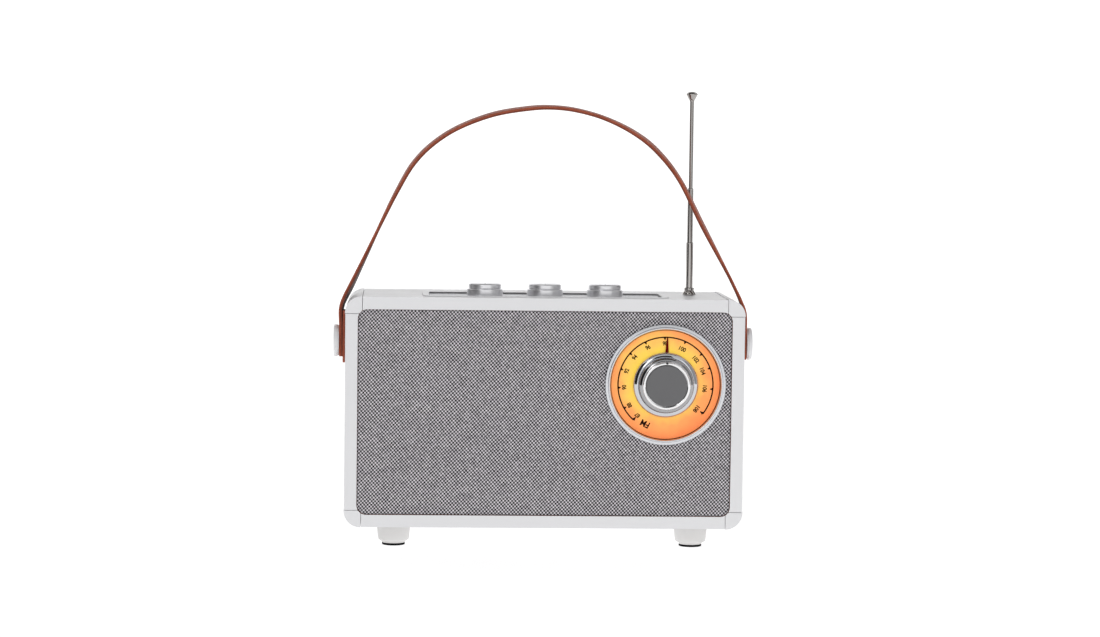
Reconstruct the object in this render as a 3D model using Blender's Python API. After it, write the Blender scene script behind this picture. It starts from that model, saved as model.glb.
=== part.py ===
"""Tabletop radio: a white cabinet on four feet, with a cloth grille, a lit tuning dial,
three knobs on top, a telescopic antenna and a leather carrying strap.

Frame: metres, +Z up, the front faces -Y. The origin is at the middle of the footprint,
on the surface that the radio stands on. Turned profiles and the strap's route are written
in millimetres.
"""
import math

import bpy
import bmesh
import numpy as np
from mathutils import Vector

MM = 0.001
NEAR = 1e-6                         # tolerance for picking edges by position
GAP = 0.3 * MM                      # clearance between pieces that touch
THROUGH = 20 * MM                   # reach of a cutter past the face that it opens

# Cabinet
CABINET_WIDTH = 240 * MM
CABINET_HEIGHT = 138.8 * MM
CABINET_DEPTH = 87 * MM
BOARD = 7.3 * MM                    # thickness of the cabinet's boards
CORNER = 10.2 * MM                  # size and outer radius of a corner moulding
OPENING_RADIUS = 6.3 * MM           # corner radius of the front and back openings
BOARD_STEP = 0.25 * MM              # the boards sit this far inside the corner mouldings
EDGE_ROUND = 1.0 * MM               # rounding of the cabinet's front and back edges
STAND_HEIGHT = 12 * MM              # feet and pads under the cabinet
KNOB_PROJECTION = 9 * MM            # tuning knob, in front of the cabinet
FRONT_FOOT_X = 90 * MM
REAR_FOOT_X = 92.5 * MM
FOOT_INSET = 15 * MM                # from the cabinet's front and back

FRONT = -(CABINET_DEPTH - KNOB_PROJECTION) / 2
BACK = FRONT + CABINET_DEPTH
BOTTOM = STAND_HEIGHT
TOP = STAND_HEIGHT + CABINET_HEIGHT
MIDDLE_Z = (BOTTOM + TOP) / 2
HALF_WIDTH = CABINET_WIDTH / 2
HALF_HEIGHT = CABINET_HEIGHT / 2
OPENING_HALF = (HALF_WIDTH - BOARD, HALF_HEIGHT - BOARD)

# Grille and dial, from the front backwards
CLOTH_FRONT = FRONT + 0.8 * MM
CLOTH_BACK = CLOTH_FRONT + 1.0 * MM
FRAME_BACK = FRONT + 5.6 * MM
BAFFLE_BACK = FRONT + 12 * MM
GRILLE_MARGIN = 0.6 * MM            # shadow line round the grille
GRILLE_FRAME_WIDTH = 7.4 * MM
DIAL_CENTRE = (72.4 * MM, FRONT, TOP - 51.5 * MM)
DIAL_HOLE = 34.6                    # the dial's and knobs' radii are in millimetres
BEZEL_RADIUS = 35.9
FACE_RADIUS = 32.7
FACE_FRONT = 0.6
FACE_THICKNESS = 1.2
TUNING_RADIUS = 19.3
CAP_RADIUS = 12.4
SHAFT_RADIUS = 3.0                  # every shaft and stud
BORE_RADIUS = SHAFT_RADIUS + 0.3
POINTER_ANGLE = math.radians(1.5)   # clockwise from straight up

# Controls on top
CONTROL_CENTRE = (0.6 * MM, FRONT + 31.5 * MM)
CONTROL_HALF = (74.2 * MM, 22.9 * MM)
CONTROL_RADIUS = 7.5 * MM
CONTROL_RIM = 3.7 * MM
RIM_TOP = TOP + 0.35 * MM
RIM_BOTTOM = TOP - 6 * MM
PLATE_TOP = TOP - 0.9 * MM
PLATE_THICKNESS = 1.5 * MM
CONTROL_BOARD_TOP = TOP - 19 * MM
BOARD_THICKNESS = 1.6 * MM          # both circuit boards
KNOB_PITCH = 36.5 * MM
KNOBS = ("volume", "tone", "mode")

# Speaker, antenna and strap
SPEAKER_CENTRE = (-38 * MM, BAFFLE_BACK, MIDDLE_Z)
ANTENNA_FOOT = (90.2 * MM, FRONT + 48 * MM, TOP)
STRAP_Y = FRONT + 33 * MM
STRAP_WIDTH = 15 * MM
STRAP_THICKNESS = 2.0 * MM
STRAP_OFFSET = 2.9 * MM             # the strap's middle, outside the cabinet's side
STRAP_SPACING = 11                  # between the strap's stations, in millimetres
STRAP_TAB = (-13.5 * MM, 16 * MM)   # doubled ends, below and above the pivot
PIVOT_Z = TOP - 28.8 * MM
BUTTON_RADIUS = 9.8
BUTTON_BACK = 4.05                  # from the cabinet's side, in millimetres
BUTTON_FACE = 7.45

# Rear
COVER_BACK = BACK - 2 * MM
COVER_FRONT = COVER_BACK - 3 * MM
PORT_CENTRE = (-80 * MM, BACK, MIDDLE_Z)
SOCKET_CENTRE = (40 * MM, 40 * MM)  # x and z
SOCKET_HALF = (24 * MM, 9 * MM)
SOCKET_SPREAD = 11 * MM

WHITE = (0.80, 0.80, 0.81)
SILVER = (0.55, 0.55, 0.57)
CHROME = (0.75, 0.75, 0.77)
BLACK = (0.02, 0.02, 0.022)
GREEN = (0.02, 0.16, 0.07)


# ---------------------------------------------------------------- helpers

def clear_scene():
    for old in list(bpy.data.objects):
        bpy.data.objects.remove(old, do_unlink=True)


def finish_material(name, colour, roughness, metallic):
    made = bpy.data.materials.new(name + "_finish")
    made.use_nodes = True
    shader = made.node_tree.nodes["Principled BSDF"]
    shader.inputs["Base Color"].default_value = (*colour, 1.0)
    shader.inputs["Roughness"].default_value = roughness
    shader.inputs["Metallic"].default_value = metallic
    return made


def link_object(name, data):
    bmesh.ops.recalc_face_normals(data, faces=data.faces[:])
    mesh = bpy.data.meshes.new(name)
    data.to_mesh(mesh)
    data.free()
    linked = bpy.data.objects.new(name, mesh)
    bpy.context.scene.collection.objects.link(linked)
    return linked


def add_part(name, data, colour, roughness=0.5, metallic=0.0):
    part = link_object(name, data)
    part.data.shade_smooth()
    part.data.set_sharp_from_angle(angle=math.radians(35))
    part.data.materials.append(finish_material(name, colour, roughness, metallic))
    return part


def combine(part, data, operation="DIFFERENCE"):
    """Cut a shape out of a part, or join it on, with a hidden helper object."""
    helper = link_object(f"{part.name}_helper_{len(part.modifiers)}", data)
    helper.hide_render = True
    helper.display_type = "WIRE"
    boolean = part.modifiers.new(helper.name, "BOOLEAN")
    boolean.operation = operation
    boolean.object = helper
    boolean.solver = "EXACT"


def along(axis, u, v, h):
    """The point at height h along an axis and at (u, v) across it."""
    return {"X": (h, u, v), "Y": (u, h, v), "Z": (u, v, h)}[axis]


def arc(centre, radius, start, end, steps):
    """Points of an arc, angles in degrees."""
    angles = np.radians(np.linspace(start, end, steps + 1))
    return [(centre[0] + radius * math.cos(a), centre[1] + radius * math.sin(a)) for a in angles]


def rounded_outline(half, radius, centre, steps=4):
    points = []
    for turn, (u, v) in enumerate(((1, 1), (-1, 1), (-1, -1), (1, -1))):
        corner = (centre[0] + u * (half[0] - radius), centre[1] + v * (half[1] - radius))
        points += arc(corner, radius, 90 * turn, 90 * turn + 90, steps)
    return points


def grown(half, amount):
    return (half[0] + amount, half[1] + amount)


def mirrored(outline, mirror_u, mirror_v):
    return [(u * mirror_u, v * mirror_v) for u, v in outline]


def join_rings(data, ring, following):
    """Faces between two closed rings of vertices; a ring of one vertex is a pole."""
    count = max(len(ring), len(following))
    for i in range(count):
        j = (i + 1) % count
        corners = (ring[i % len(ring)], ring[j % len(ring)],
                   following[j % len(following)], following[i % len(following)])
        unique = list(dict.fromkeys(corners))
        if len(unique) > 2:
            data.faces.new(unique)


def prism(outline, low, high, axis="Y"):
    data = bmesh.new()
    base, lid = [[data.verts.new(along(axis, u, v, h)) for u, v in outline] for h in (low, high)]
    data.faces.new(base)
    data.faces.new(lid)
    join_rings(data, base, lid)
    return data


def frame_prism(outer, inner, low, high, axis="Y"):
    """A frame between two outlines that have the same number of points."""
    data = bmesh.new()
    rings = [[data.verts.new(along(axis, u, v, h)) for u, v in line]
             for line, h in ((outer, low), (outer, high), (inner, high), (inner, low))]
    for ring, following in zip(rings, rings[1:] + rings[:1]):
        join_rings(data, ring, following)
    return data


def turned(profile, centre, axis="Z", segments=20):
    """Turn a closed (radius, height) profile, in millimetres, around an axis."""
    data = bmesh.new()
    rings = []
    for radius, height in profile:
        ring = []
        for step in range(segments if radius else 1):
            angle = math.tau * step / segments
            offset = along(axis, radius * math.cos(angle), radius * math.sin(angle), height)
            ring.append(data.verts.new(Vector(centre) + Vector(offset) * MM))
        rings.append(ring)
    for ring, following in zip(rings, rings[1:] + rings[:1]):
        join_rings(data, ring, following)
    return data


def disc(radius, low, high):
    return [(0, low), (radius, low), (radius, high), (0, high)]


def tube(inner, outer, low, high):
    return [(inner, low), (outer, low), (outer, high), (inner, high)]


def bore(radius):
    """Profile of a drill that reaches to both sides of the surface it starts on."""
    reach = THROUGH / MM
    return disc(radius, -reach, reach)


def block(low, high):
    outline = [(low[0], low[1]), (high[0], low[1]), (high[0], high[1]), (low[0], high[1])]
    return prism(outline, low[2], high[2], "Z")


def round_edges(data, chosen, width, steps):
    edges = [edge for edge in data.edges if chosen(*[vert.co for vert in edge.verts])]
    bmesh.ops.bevel(data, geom=edges, offset=width, segments=steps, profile=0.5,
                    affect="EDGES", clamp_overlap=True)


# ---------------------------------------------------------------- cabinet

def add_shell_piece(name, outline, is_outer):
    """A cabinet piece from front to back, its outer edges rounded at both ends."""
    data = prism([(u, MIDDLE_Z + v) for u, v in outline], FRONT, BACK)

    def outer_end_edge(a, b):
        return abs(a.y - b.y) < NEAR and is_outer(a) and is_outer(b)

    round_edges(data, outer_end_edge, EDGE_ROUND, 2)
    return add_part(name, data, WHITE, 0.35)


def add_cabinet():
    """Four boards and four corner mouldings that meet at straight seams."""
    seam_x, seam_rise = HALF_WIDTH - CORNER, HALF_HEIGHT - CORNER
    bend = grown(OPENING_HALF, -OPENING_RADIUS)

    def angle_at_x(x):
        return math.degrees(math.acos((x - bend[0]) / OPENING_RADIUS))

    def angle_at_rise(rise):
        return math.degrees(math.asin((rise - bend[1]) / OPENING_RADIUS))

    end_x, end_rise = seam_x - GAP, seam_rise - GAP
    across = [(end_x, HALF_HEIGHT - BOARD_STEP)]
    across += arc(bend, OPENING_RADIUS, angle_at_x(end_x), 90, 2)
    across += mirrored(across[::-1], -1, 1)
    upright = [(HALF_WIDTH - BOARD_STEP, end_rise)]
    upright += arc(bend, OPENING_RADIUS, angle_at_rise(end_rise), 0, 2)
    upright += mirrored(upright[::-1], 1, -1)
    moulding = arc((seam_x, seam_rise), CORNER, 0, 90, 8)
    moulding += arc(bend, OPENING_RADIUS, angle_at_x(seam_x), angle_at_rise(seam_rise), 3)

    top_panel = add_shell_piece("top_panel", across, lambda p: p.z > TOP - BOARD_STEP - NEAR)
    add_shell_piece("bottom_panel", mirrored(across, 1, -1),
                    lambda p: p.z < BOTTOM + BOARD_STEP + NEAR)
    for side, sign in (("left", -1), ("right", 1)):
        panel = add_shell_piece(side + "_panel", mirrored(upright, sign, 1),
                                lambda p: abs(p.x) > HALF_WIDTH - BOARD_STEP - NEAR)
        stud_hole = turned(bore(BORE_RADIUS), (sign * HALF_WIDTH, STRAP_Y, PIVOT_Z), "X")
        combine(panel, stud_hole)
        for level, way in (("top", 1), ("bottom", -1)):
            middle = (sign * seam_x, MIDDLE_Z + way * seam_rise)

            def on_corner_arc(p, middle=middle):
                return abs(math.hypot(p.x - middle[0], p.z - middle[1]) - CORNER) < NEAR

            add_shell_piece(f"corner_{level}_{side}", mirrored(moulding, sign, way), on_corner_arc)

    hole = rounded_outline(grown(CONTROL_HALF, GAP), CONTROL_RADIUS, CONTROL_CENTRE)
    combine(top_panel, prism(hole, TOP - THROUGH, TOP + THROUGH, "Z"))
    combine(top_panel, turned(bore(3.2), ANTENNA_FOOT))


def add_feet():
    foot = [(0, -10.8), (7.0, -10.8), (7.1, -9.9), (7.9, -9.7), (8.9, -9.0), (9.3, -7.8),
            (10.1, -0.3), (0, -0.3)]
    pad = [(0, -12.25), (6.6, -12.25), (6.95, -11.9), (6.95, -11.1), (0, -11.1)]
    for side, sign in (("left", -1), ("right", 1)):
        for end, x, y in (("front", FRONT_FOOT_X, FRONT + FOOT_INSET),
                          ("rear", REAR_FOOT_X, BACK - FOOT_INSET)):
            centre = (sign * x, y, BOTTOM + BOARD_STEP)
            add_part(f"foot_{end}_{side}", turned(foot, centre, "Z", 16), WHITE, 0.4)
            add_part(f"foot_pad_{end}_{side}", turned(pad, centre, "Z", 16), BLACK, 0.9)


def add_rear():
    outline = rounded_outline(grown(OPENING_HALF, -GAP), OPENING_RADIUS, (0, MIDDLE_Z))
    cover = add_part("rear_cover", prism(outline, COVER_FRONT, COVER_BACK), WHITE, 0.6)
    combine(cover, turned(bore(16.3), PORT_CENTRE, "Y", 24))
    plate_hole = rounded_outline(grown(SOCKET_HALF, GAP), 3 * MM, SOCKET_CENTRE, 3)
    combine(cover, prism(plate_hole, BACK - THROUGH, BACK + THROUGH))
    port = [(13, -34), (16, -34), (16, -1.7), (20, -1.7), (20, -0.7), (17, 0.0), (14.5, -1.2),
            (13, -5)]
    add_part("bass_port", turned(port, PORT_CENTRE, "Y", 24), BLACK, 0.5)

    plate_outline = rounded_outline(SOCKET_HALF, 3 * MM, SOCKET_CENTRE, 3)
    plate = add_part("socket_plate", prism(plate_outline, COVER_FRONT, COVER_BACK - 0.5 * MM),
                     BLACK, 0.45)
    usb_centre = (SOCKET_CENTRE[0] + SOCKET_SPREAD, SOCKET_CENTRE[1])
    shell_half, shell_radius = (4.5 * MM, 1.7 * MM), 1.6 * MM
    slot = rounded_outline(grown(shell_half, GAP), shell_radius + GAP, usb_centre)
    combine(plate, prism(slot, BACK - THROUGH, BACK + THROUGH))
    shell = rounded_outline(shell_half, shell_radius, usb_centre)
    usb = add_part("usb_socket", prism(shell, COVER_FRONT - 6 * MM, COVER_BACK - 0.7 * MM),
                   SILVER, 0.3, 1.0)
    wall = 0.4 * MM
    mouth = rounded_outline(grown(shell_half, -wall), shell_radius - wall, usb_centre)
    combine(usb, prism(mouth, COVER_FRONT - 4 * MM, BACK))
    aux_centre = (SOCKET_CENTRE[0] - SOCKET_SPREAD, BACK, SOCKET_CENTRE[1])
    combine(plate, turned(bore(4.3), aux_centre, "Y"))
    add_part("aux_socket", turned(tube(1.8, 4, -14, -2.7), aux_centre, "Y", 16), BLACK, 0.4)


# ---------------------------------------------------------------- front

def add_grille():
    """Cloth over a frame, and the wooden baffle that carries the speaker behind them."""
    half = grown(OPENING_HALF, -GRILLE_MARGIN)
    outline = rounded_outline(half, OPENING_RADIUS - GRILLE_MARGIN, (0, MIDDLE_Z))
    inside = rounded_outline(grown(half, -GRILLE_FRAME_WIDTH), 3 * MM, (0, MIDDLE_Z))
    cloth = add_part("grille_cloth", prism(outline, CLOTH_FRONT, CLOTH_BACK),
                     (0.35, 0.35, 0.36), 0.95)
    frame = add_part("grille_frame", frame_prism(outline, inside, CLOTH_BACK + GAP, FRAME_BACK),
                     BLACK, 0.7)
    baffle = add_part("speaker_baffle", prism(outline, FRAME_BACK + GAP, BAFFLE_BACK),
                      (0.25, 0.18, 0.1), 0.8)
    for piece in (cloth, frame, baffle):
        combine(piece, turned(bore(DIAL_HOLE), DIAL_CENTRE, "Y", 40))
    combine(baffle, turned(bore(34), SPEAKER_CENTRE, "Y"))


def add_dial():
    """Heights are measured back from the cabinet's front face."""
    bezel_inside = FACE_RADIUS + 0.4
    bezel = [(bezel_inside, 5.4), (34.3, 5.4), (34.3, 0.5), (BEZEL_RADIUS, 0.5),
             (BEZEL_RADIUS, -0.6), (BEZEL_RADIUS - 0.5, -1.4), (BEZEL_RADIUS - 1.6, -1.9),
             (bezel_inside + 0.5, -1.6), (bezel_inside, -1.0)]
    add_part("dial_bezel", turned(bezel, DIAL_CENTRE, "Y", 40), SILVER, 0.35, 1.0)
    face_hole = SHAFT_RADIUS + 1.5
    face = tube(face_hole, FACE_RADIUS, FACE_FRONT, FACE_FRONT + FACE_THICKNESS)
    add_part("dial_face", turned(face, DIAL_CENTRE, "Y", 40), (1.0, 0.42, 0.09), 0.5)
    box_front = FACE_FRONT + FACE_THICKNESS + 0.3
    box_back = box_front + 11
    light_box = [(face_hole, box_back), (31, box_back), (31, box_front), (29.5, box_front),
                 (29.5, box_back - 1.5), (face_hole, box_back - 1.5)]
    add_part("dial_light_box", turned(light_box, DIAL_CENTRE, "Y"), (0.85, 0.85, 0.8), 0.5)
    reach = 14 * MM
    low = (DIAL_CENTRE[0] - reach, FRONT + 14.5 * MM, DIAL_CENTRE[2] - reach)
    high = (DIAL_CENTRE[0] + reach, FRONT + 30 * MM, DIAL_CENTRE[2] + reach)
    capacitor = add_part("tuning_capacitor", block(low, high), (0.75, 0.72, 0.6), 0.5)
    combine(capacitor, turned(disc(BORE_RADIUS, -10, 26), DIAL_CENTRE, "Y"))


def add_tuning_knob():
    """Ring, cap, shaft and pointer: they all turn about the dial's axis."""
    rim, well = TUNING_RADIUS, CAP_RADIUS + 0.3
    ring = [(BORE_RADIUS, -0.9), (rim - 0.6, -0.9), (rim, -1.5), (rim, -2.3), (rim - 0.7, -3.1),
            (rim - 2.0, -3.5), (rim - 3.2, -3.3), (rim - 3.5, -6.6), (rim - 4.3, -7.9),
            (well + 0.6, -8.6), (well, -8.3), (well, -5.4), (BORE_RADIUS, -5.4)]
    add_part("tuning_knob_ring", turned(ring, DIAL_CENTRE, "Y", 32), CHROME, 0.08, 1.0)
    front = -KNOB_PROJECTION / MM
    cap = [(0, front), (CAP_RADIUS - 0.8, front), (CAP_RADIUS - 0.2, front + 0.3),
           (CAP_RADIUS, front + 0.8), (CAP_RADIUS, -5.7), (0, -5.7)]
    add_part("tuning_knob_cap", turned(cap, DIAL_CENTRE, "Y", 32), (0.13, 0.13, 0.14), 0.55)
    add_part("tuning_shaft", turned(disc(SHAFT_RADIUS, -5.1, 24), DIAL_CENTRE, "Y", 16),
             SILVER, 0.3, 1.0)

    needle = [(-1.05, 16), (1.05, 16), (0.35, 28.2), (-0.35, 28.2)]
    sine, cosine = math.sin(POINTER_ANGLE), math.cos(POINTER_ANGLE)
    outline = [(DIAL_CENTRE[0] + (u * cosine + v * sine) * MM,
                DIAL_CENTRE[2] + (v * cosine - u * sine) * MM) for u, v in needle]
    add_part("dial_pointer", prism(outline, FRONT - 0.6 * MM, FRONT - 0.1 * MM),
             (0.30, 0.01, 0.01), 0.4)


def add_speaker():
    """Heights are measured back from the baffle's rear face."""
    basket = [(33.0, 0.3), (38.5, 0.3), (38.5, 2.0), (34.2, 2.0), (25, 17), (24, 20), (16, 20),
              (16, 18.5), (22.8, 18.5), (32.8, 2.4)]
    magnet = [(0, 20.3), (27, 20.3), (27, 33), (22, 35), (0, 35)]
    surround = [(29.3, 1.2), (30.2, -0.6), (31.4, -0.6), (32.2, 1.2), (32.2, 1.9), (29.3, 1.9)]
    cone = [(0, 6.2), (5, 6.8), (8.5, 9.2), (29.0, 1.3), (29.0, 2.1), (8.9, 10.6), (8.5, 16.5),
            (7.9, 16.5), (7.9, 9.9), (4.8, 7.6), (0, 7.0)]
    for name, profile, colour, roughness, metallic in (
            ("speaker_basket", basket, BLACK, 0.5, 0.6),
            ("speaker_magnet", magnet, SILVER, 0.4, 1.0),
            ("speaker_surround", surround, BLACK, 0.9, 0.0),
            ("speaker_cone", cone, BLACK, 0.8, 0.0)):
        add_part(name, turned(profile, SPEAKER_CENTRE, "Y"), colour, roughness, metallic)


# ---------------------------------------------------------------- top

def add_controls():
    """A rim and a sunk plate, with three controls on one circuit board below them."""
    inner_half, inner_radius = grown(CONTROL_HALF, -CONTROL_RIM), CONTROL_RADIUS - CONTROL_RIM
    rim = frame_prism(rounded_outline(CONTROL_HALF, CONTROL_RADIUS, CONTROL_CENTRE),
                      rounded_outline(inner_half, inner_radius, CONTROL_CENTRE),
                      RIM_BOTTOM, RIM_TOP, "Z")
    corners = len(rim.verts) // 4
    outlines = set(rim.verts[corners:2 * corners]) | set(rim.verts[2 * corners:3 * corners])
    rim_edges = [edge for edge in rim.edges
                 if outlines.issuperset(edge.verts) and edge.calc_face_angle() > 1]
    bmesh.ops.bevel(rim, geom=rim_edges, offset=0.5 * MM, segments=1, profile=0.5,
                    affect="EDGES", clamp_overlap=True)
    add_part("control_bezel", rim, WHITE, 0.35)
    plate_outline = rounded_outline(grown(inner_half, -GAP), inner_radius, CONTROL_CENTRE)
    plate = add_part("control_plate", prism(plate_outline, PLATE_TOP - PLATE_THICKNESS,
                                            PLATE_TOP, "Z"), SILVER, 0.4, 1.0)
    board_outline = rounded_outline((62 * MM, 16 * MM), 2 * MM, CONTROL_CENTRE, 2)
    add_part("control_board", prism(board_outline, CONTROL_BOARD_TOP - BOARD_THICKNESS,
                                    CONTROL_BOARD_TOP, "Z"), GREEN, 0.5)

    pot = [(BORE_RADIUS, -18.7), (8, -18.7), (8, -8.5), (4.4, -8.5), (4.4, -1.2),
           (BORE_RADIUS, -1.2)]
    knob = [(BORE_RADIUS, -0.5), (10.7, -0.5), (11.0, -0.2), (11.0, 3.3), (10.75, 3.55),
            (9.95, 3.55), (9.95, 6.35), (9.3, 7.0), (0, 7.0), (0, 4.8), (BORE_RADIUS, 4.8)]
    for index, word in enumerate(KNOBS):
        centre = (CONTROL_CENTRE[0] + (index - 1) * KNOB_PITCH, CONTROL_CENTRE[1], TOP)
        combine(plate, turned(bore(4.7), centre))
        add_part(word + "_pot", turned(pot, centre, "Z", 16), SILVER, 0.4, 1.0)
        shaft = turned(disc(SHAFT_RADIUS, -16, 4.5), centre, "Z", 16)
        add_part(word + "_shaft", shaft, SILVER, 0.3, 1.0)
        add_part(word + "_knob", turned(knob, centre), SILVER, 0.3, 1.0)


def add_antenna():
    """A housing with a flared collar, and three telescoping sections with a tip."""
    housing = [(2.4, -100), (2.9, -100), (2.9, 0.1), (3.9, 0.1), (3.6, 1.0), (3.0, 1.9),
               (2.7, 2.4), (2.9, 2.9), (2.9, 4.0), (2.6, 4.4), (2.4, 4.4)]
    tip = [(0, 118.8), (1.7, 118.8), (2.0, 120.2), (3.45, 122.7), (3.45, 123.2), (2.3, 124.3),
           (0, 124.7)]
    for name, profile in (("antenna_base", housing),
                          ("antenna_section_1", tube(1.87, 2.15, -62.7, 32.3)),
                          ("antenna_section_2", tube(1.41, 1.71, -26.5, 65.5)),
                          ("antenna_section_3", disc(1.22, 26.7, 118.5)),
                          ("antenna_tip", tip)):
        add_part(name, turned(profile, ANTENNA_FOOT, "Z", 16), CHROME, 0.15, 1.0)


# ---------------------------------------------------------------- strap

# The strap's middle line: x, height over the cabinet's bottom, and twist in degrees.
# A positive twist lifts the back edge outwards.
STRAP_ROUTE = (
    (-122.9, 100.4, 0), (-122.9, 118, -1), (-122.8, 129.5, -4), (-120.5, 136.2, -6.5),
    (-117.5, 142.2, -7), (-109.2, 159.8, -3.5), (-97.3, 185.5, 1), (-89.4, 201.6, 3),
    (-80.4, 217.2, 4), (-69.0, 229.3, 4), (-53.5, 239.6, 4), (-32.4, 247.9, 4.5),
    (-11.5, 251.8, 4.5), (3.5, 252.7, 4), (19, 251.1, 4), (36.6, 246.2, 4.5), (54.2, 237.7, 7),
    (68.2, 226.8, 8.5), (82.0, 209.6, 8), (96.4, 182, 9), (111.0, 155.1, 4.5),
    (116.6, 144.2, 4), (120.3, 136.4, 3), (122.7, 129, 1), (122.9, 118, 0), (122.9, 100.4, 0))


def smooth_route(points, spacing):
    """Catmull-Rom curve through the points, with about one station per spacing."""
    points = np.array(points, dtype=float)
    padded = np.vstack([2 * points[0] - points[1], points, 2 * points[-1] - points[-2]])
    stations = []
    for a, b, c, d in zip(padded, padded[1:], padded[2:], padded[3:]):
        count = max(1, round(np.linalg.norm(c[:2] - b[:2]) / spacing))
        for step in range(count):
            t = step / count
            stations.append(0.5 * (2 * b + (c - a) * t + (2 * a - 5 * b + 4 * c - d) * t ** 2
                                   + (3 * b - a - 3 * c + d) * t ** 3))
    stations.append(points[-1])
    return np.array(stations)


def strap_mesh(stations):
    data = bmesh.new()
    rings = []
    tangents = np.gradient(stations[:, :2], axis=0)
    for (x, z, twist), tangent in zip(stations, tangents):
        tangent = tangent / np.linalg.norm(tangent)
        outward = Vector((-tangent[1], 0, tangent[0]))
        angle = math.radians(twist)
        across = Vector((0, math.cos(angle), 0)) + outward * math.sin(angle)
        normal = outward * math.cos(angle) - Vector((0, math.sin(angle), 0))
        middle = Vector((x * MM, STRAP_Y, BOTTOM + z * MM))
        rings.append([data.verts.new(middle + across * (u * STRAP_WIDTH / 2)
                                     + normal * (v * STRAP_THICKNESS / 2))
                      for u, v in ((-1, -1), (1, -1), (1, 1), (-1, 1))])
    for ring, following in zip(rings, rings[1:]):
        join_rings(data, ring, following)
    data.faces.new(rings[0])
    data.faces.new(rings[-1])
    bmesh.ops.triangulate(data, faces=data.faces[:])
    return data


def strap_tab(sign):
    """The doubled layer at one end of the strap, next to the cabinet's side."""
    x_ends = sorted((sign * (HALF_WIDTH + 0.4 * MM), sign * (HALF_WIDTH + STRAP_OFFSET)))
    half = STRAP_WIDTH / 2 - 0.4 * MM
    tab = block((x_ends[0], STRAP_Y - half, PIVOT_Z + STRAP_TAB[0]),
                (x_ends[1], STRAP_Y + half, PIVOT_Z + STRAP_TAB[1]))

    def lower_corner(a, b):
        return abs(a.y - b.y) < NEAR and abs(a.z - b.z) < NEAR and a.z < PIVOT_Z

    round_edges(tab, lower_corner, 5 * MM, 3)
    return tab


def add_strap():
    """Strap with its end layers, and at each end a button on a stud through the side."""
    strap = add_part("handle_strap", strap_mesh(smooth_route(STRAP_ROUTE, STRAP_SPACING)),
                     (0.23, 0.075, 0.045), 0.5)
    button = [(BORE_RADIUS, BUTTON_BACK), (BUTTON_RADIUS - 0.2, BUTTON_BACK),
              (BUTTON_RADIUS, BUTTON_BACK + 0.3), (BUTTON_RADIUS, BUTTON_FACE - 1.0),
              (BUTTON_RADIUS - 0.6, BUTTON_FACE - 0.4), (BUTTON_RADIUS - 3.5, BUTTON_FACE - 0.08),
              (0, BUTTON_FACE), (0, BUTTON_BACK + 2.1), (BORE_RADIUS, BUTTON_BACK + 2.1)]
    stud_end = BUTTON_BACK + 1.7
    stud = [(0, -11.5), (6, -11.5), (6, -7.6), (SHAFT_RADIUS, -7.6), (SHAFT_RADIUS, stud_end),
            (0, stud_end)]
    for side, sign in (("left", -1), ("right", 1)):
        pivot = (sign * HALF_WIDTH, STRAP_Y, PIVOT_Z)
        combine(strap, strap_tab(sign), "UNION")
        combine(strap, turned(bore(BORE_RADIUS), pivot, "X"))
        add_part("strap_button_" + side, turned(mirrored(button, 1, sign), pivot, "X"),
                 WHITE, 0.35)
        add_part("strap_stud_" + side, turned(mirrored(stud, 1, sign), pivot, "X", 16),
                 SILVER, 0.3, 1.0)


# ---------------------------------------------------------------- electronics

def add_electronics():
    board_front = BACK - 20 * MM
    board = add_part("main_board", block((-15 * MM, board_front, 26 * MM),
                                         (75 * MM, board_front + BOARD_THICKNESS, 76 * MM)),
                     GREEN, 0.5)
    # Raised components: x, z, width and height over the board, in millimetres
    for x, z, width, rise in ((0, 48, 14, 3), (30, 62, 10, 3), (60, 58, 12, 8), (8, 66, 8, 10)):
        low = ((x - width / 2) * MM, board_front - rise * MM, (z - width / 2) * MM)
        high = ((x + width / 2) * MM, board_front + BOARD_THICKNESS / 2, (z + width / 2) * MM)
        combine(board, block(low, high), "UNION")

    cell, length = 9.3 * MM, 68 * MM
    start = (12 * MM, FRONT + 16 * MM, BOTTOM + BOARD + GAP)
    first = (start[1] + cell, start[2] + cell)
    second = (first[0] + 2 * cell, first[1])
    wrap = arc(second, cell, -90, 60, 8) + arc(first, cell, 120, 270, 8)
    add_part("battery_pack", prism(wrap, start[0], start[0] + length, "X"),
             (0.05, 0.2, 0.5), 0.4)


def build():
    clear_scene()
    add_cabinet()
    add_feet()
    add_rear()
    add_grille()
    add_dial()
    add_tuning_knob()
    add_speaker()
    add_controls()
    add_antenna()
    add_strap()
    add_electronics()


build()
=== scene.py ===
"""Looks of the tabletop radio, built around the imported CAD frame.

Metres, +Z up, the radio's front faces -Y. Turned profiles, places on the dial and the strap's
route and section are in millimetres.
"""
import math

import bmesh
import bpy
import numpy as np
from mathutils import Matrix, Vector


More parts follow.
